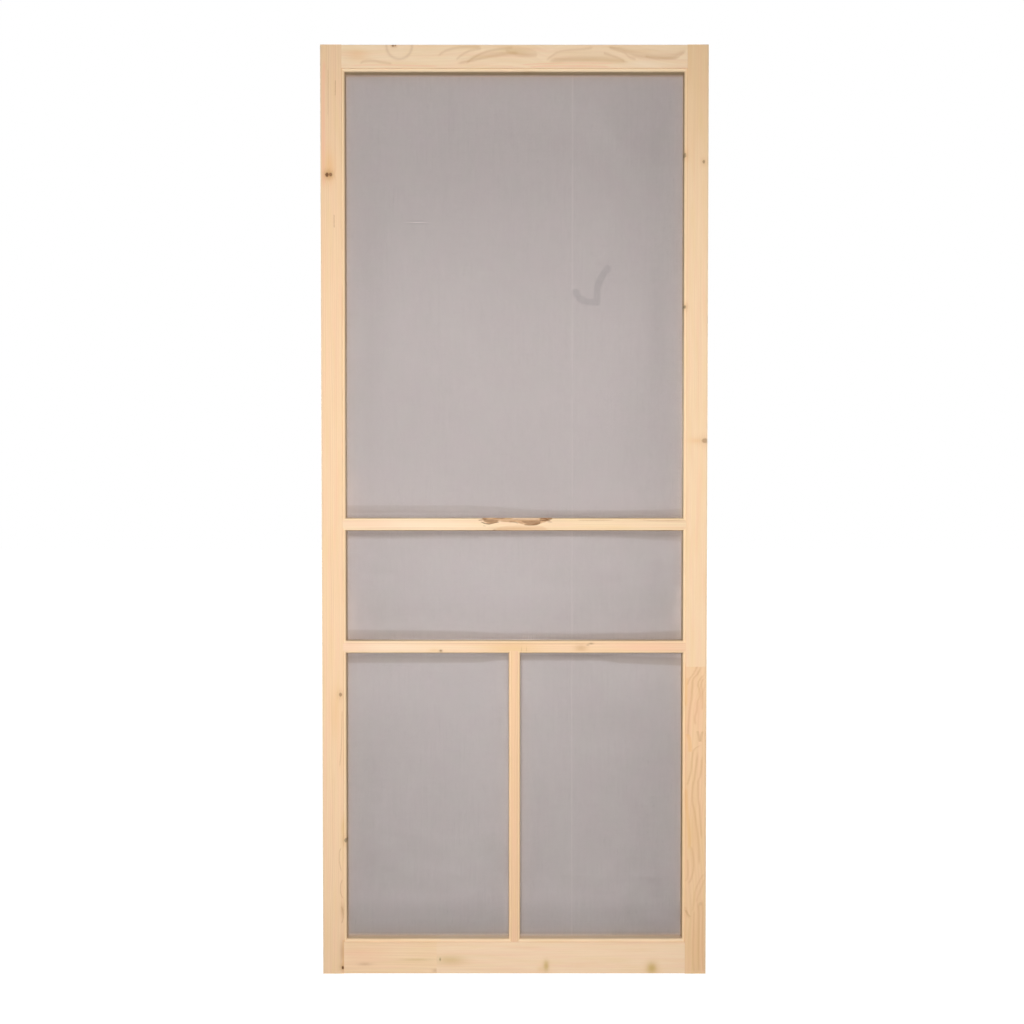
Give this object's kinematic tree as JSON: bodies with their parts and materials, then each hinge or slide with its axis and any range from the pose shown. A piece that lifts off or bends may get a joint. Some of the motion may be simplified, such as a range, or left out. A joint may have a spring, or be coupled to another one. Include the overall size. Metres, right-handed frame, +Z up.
{
  "type": "wooden screen door leaf",
  "caption": "Unfinished pine screen door leaf: a slim full-height frame with cross rails and a centre mullion in front of loose insect screen cloth.",
  "frame": {"origin": "on the flat outer edge of the left stile, at half the height and half the thickness of the leaf", "axes": "+X across the leaf from the hinge edge to the latch edge, +Y from the front to the back, +Z up"},
  "size_m": [0.844, 0.0254, 2.032],
  "materials": {
    "frame_pine": "planed and sanded, unfinished",
    "moulding_pine": "planed, unfinished",
    "screen_cloth": "grey coated glass-fibre weave"
  },
  "bodies": {
    "root": {"left_stile": "frame_pine", "right_stile_upper": "frame_pine", "right_stile_lower": "frame_pine", "top_rail": "frame_pine", "lock_rail": "frame_pine", "middle_rail": "frame_pine", "bottom_rail_left": "frame_pine", "bottom_rail_right": "frame_pine", "mullion": "frame_pine", "insect_screen": "screen_cloth", "moulding_left": "moulding_pine", "moulding_right": "moulding_pine", "moulding_top": "moulding_pine", "moulding_bottom": "moulding_pine", "moulding_lock": "moulding_pine", "moulding_middle": "moulding_pine", "moulding_mullion": "moulding_pine"}
  },
  "joints": []
}
